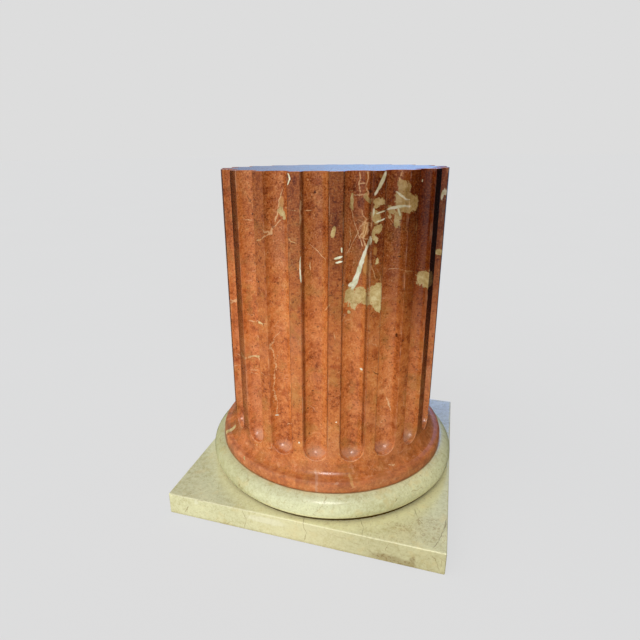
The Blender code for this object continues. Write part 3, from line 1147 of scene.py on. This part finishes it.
# %% The plinth's stone
def plinth_marble():
    stone = Recipe(bpy.data.materials.new("cream_plinth_marble"))
    clouds, grain = cream_ground(stone, rgb(198, 196, 156), rgb(178, 172, 124))
    x, y, z = stone.axes()
    unfolded = stone.flat(x * (1 / mm), (y + z - plinth_top) * (1 / mm))
    unfolded = stone.moved(unfolded, stone.drift(7 * mm, 3.0, 0.6), 6.0)

    radius = stone.radius()
    angle = stone.maths("ARCTAN2", x, 0 - y)
    to_the_right = stone.step(angle, radians(-50), radians(45), 0.0, 1.0)
    to_the_right = to_the_right * stone.fade(angle, radians(70), radians(130))
    # Painted shade with joint dirt in the crevice under the torus's nose, more on the right.
    ring = radius - grain * 2.0 * mm - to_the_right * 1.2 * mm
    crevice_shade = stone.fade(ring, foot_radius + 6.2 * mm, foot_radius + 7.0 * mm)
    stone.paint(crevice_shade * (0.6 + 0.4 * to_the_right), joint_dirt_and_shade)
    # Painted light: a pale ring on the top round the torus.
    painted_light_ring = stone.fade(radius + clouds * 20 * mm, foot_radius + 14 * mm, foot_radius + 50 * mm)
    stone.paint(painted_light_ring * 0.5 * (1.0 - crevice_shade), rgb(236, 228, 182))
    flat_top = stone.step(z, plinth_top - 1.3 * mm, plinth_top - 0.5 * mm)
    # Painted light and shade: towards the right the top is lighter and the faces darker.
    stone.tint(flat_top * to_the_right, (1.10, 1.09, 1.02))
    stone.tint((1.0 - flat_top) * to_the_right * 0.8, (0.72, 0.68, 0.62))

    dots = stone.step(aside(stone, (0.3, 0.3, 0.1), 2.8 * mm, 2.0), 0.52, 0.66)
    dust = stone.fade(marks(stone, unfolded, plinth_dust), 0.5, 1.15)
    stone.paint(dust * (0.08 + 0.42 * dots), rgb(150, 120, 62))
    pale = stone.fade(marks(stone, unfolded, plinth_pale), 0.5, 1.1)
    stone.paint(pale * 0.4, rgb(222, 220, 196))
    stain = stone.fade(marks(stone, unfolded, plinth_stain), 0.4, 1.2)
    stone.paint(stain * (0.45 + 0.4 * dots), rgb(118, 96, 54))
    line = stone.fade(marks(stone, unfolded, plinth_cracks), 0.5, 1.2)
    stone.paint(line * 0.55, rgb(114, 90, 44))

    # Painted highlight: a pale line along the top bevel.
    edge = stone.maths("MAXIMUM", stone.maths("ABSOLUTE", x), stone.maths("ABSOLUTE", y))
    bevel_highlight = stone.step(edge, plinth_half - 1.9 * mm, plinth_half - 1.0 * mm)
    bevel_highlight = bevel_highlight * stone.step(z, plinth_top - 1.5 * mm, plinth_top - 0.7 * mm)
    stone.paint(bevel_highlight * 0.3, rgb(232, 229, 194))
    # Darker towards the bottom edge.
    darker_bottom = stone.step(z + (grain - 0.5) * 4 * mm, 0.5 * mm, 5 * mm, 0.3, 0.0)
    stone.paint(darker_bottom, rgb(140, 124, 78))
    return finish_cream(stone, clouds, grain)


plinth_slab.data.materials.append(plinth_marble())

# %% [markdown]
# ## Floor and light
#
# The column stands in a plain pale studio. One soft lamp, high in front and a little to the left of the
# camera, draws the highlights in the scoops and on the torus. The studio's own glow is brighter on the
# left, so the flutes on the right fall into shade, and cooler behind, where the polished top mirrors it.
# The floor is a sheet that glows a little itself, so that shadows on it stay faint.

# %% The floor
def flat_disc(radius, columns):
    """A flat floor: rings of growing radius round the origin."""
    return turned(np.array([(radius, 0), (radius / 8, 0), (0.4, 0), (0, 0)]), columns)


pale_floor = piece("pale_floor", [flat_disc(60, 96)])
pale_floor.visible_diffuse = False
pale_floor.visible_glossy = False
floor_paint = Recipe(bpy.data.materials.new("pale_floor_paint"))
floor_grain = floor_paint.noise(floor_paint.place, 0.4, 2.0)
floor_paint.colour = floor_paint.ramp(floor_grain, [(0.3, (0.098,) * 3), (0.7, (0.102,) * 3)])
floor_paint.shader.inputs["Specular IOR Level"].default_value = 0.0
floor_paint.shader.inputs["Emission Color"].default_value = (1, 1, 1, 1)
floor_paint.shader.inputs["Emission Strength"].default_value = 0.625
pale_floor.data.materials.append(floor_paint.finish(0.9, floor_grain, 0.0))


# %% The lamp
def towards(azimuth, elevation):
    """The unit vector to a place in the sky, azimuth counted from the front towards the right."""
    flat = cos(radians(elevation))
    return Vector((flat * sin(radians(azimuth)), -flat * cos(radians(azimuth)), sin(radians(elevation))))


lamp = bpy.data.objects.new("soft_lamp", bpy.data.lights.new("soft_lamp", "SUN"))
lamp.data.energy = 0.6
lamp.data.angle = radians(20)
lamp.data.color = (1.0, 0.98, 0.94)
lamp.rotation_euler = towards(9, 50).to_track_quat("Z", "Y").to_euler()
bpy.context.scene.collection.objects.link(lamp)

# %% The studio's glow
studio_sky = bpy.data.worlds.new("studio")
bpy.context.scene.world = studio_sky
studio = Recipe(studio_sky, "Background", "Generated")


def glow(direction, sharpness, colour):
    """Light that is brightest one way: colour times max(0, cosine) to the given power."""
    facing = studio.vector("DOT_PRODUCT", studio.place, direction, output=1)
    facing = studio.maths("POWER", studio.maths("MAXIMUM", facing, 0.0), sharpness)
    return studio.scaled(colour, facing)


fill_light = (0.03, 0.035, 0.04)
for direction, sharpness, colour in (
    (towards(-26, 42), 5.0, (1.95, 1.93, 1.86)),
    (towards(-62, 12), 5.0, (1.00, 1.00, 0.97)),
    (towards(-75, -35), 4.0, (1.60, 1.56, 1.48)),
    (towards(35, -35), 4.0, (2.30, 2.25, 2.10)),
    (towards(0, 90), 4.0, (0.72, 0.76, 0.88)),
    (towards(180, 30), 4.0, (0.24, 0.30, 0.40)),
):
    fill_light = studio.vector("ADD", glow(direction, sharpness, colour), fill_light)

mirrored = (0.02, 0.02, 0.02)
for direction, sharpness, colour in (
    (towards(-25, 5), 2.0, (0.60, 0.60, 0.60)),
    (towards(9, 54), 22.0, (1.8, 1.8, 1.9)),
    (towards(9, 50), 320.0, (13.0, 13.0, 13.0)),
    (towards(187, 22), 14.0, (0.75, 1.36, 2.20)),
    (towards(178, 24), 60.0, (0.0, 0.4, 3.2)),
):
    mirrored = studio.vector("ADD", glow(direction, sharpness, colour), mirrored)

in_gloss = studio.node("ShaderNodeLightPath", output="Is Glossy Ray")
in_view = studio.node("ShaderNodeLightPath", output="Is Camera Ray")
backdrop_grey = 0.723
chosen = studio.mix(in_view, studio.mix(in_gloss, fill_light, mirrored), (backdrop_grey,) * 3)
studio.feed(studio.shader.inputs["Color"], chosen)
print(f"{studio_sky.name}: {len(studio.tree.nodes)} nodes")
bpy.context.scene.view_settings.view_transform = "Standard"

# %% [markdown]
# ## Handing the pieces to the model
#
# Each finished surface stands for its imported solid. The last lines hang each piece on the model's root
# body and hide the solid it stands for.

# %% Pieces, nodes and slots
for finished, node, slot in (
    (carved_shaft, "fluted_shaft", "red_marble"),
    (rounded_torus, "torus", "cream_torus_marble"),
    (plinth_slab, "square_plinth", "cream_plinth_marble"),
):
    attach(finished, "root")
    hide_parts(node)
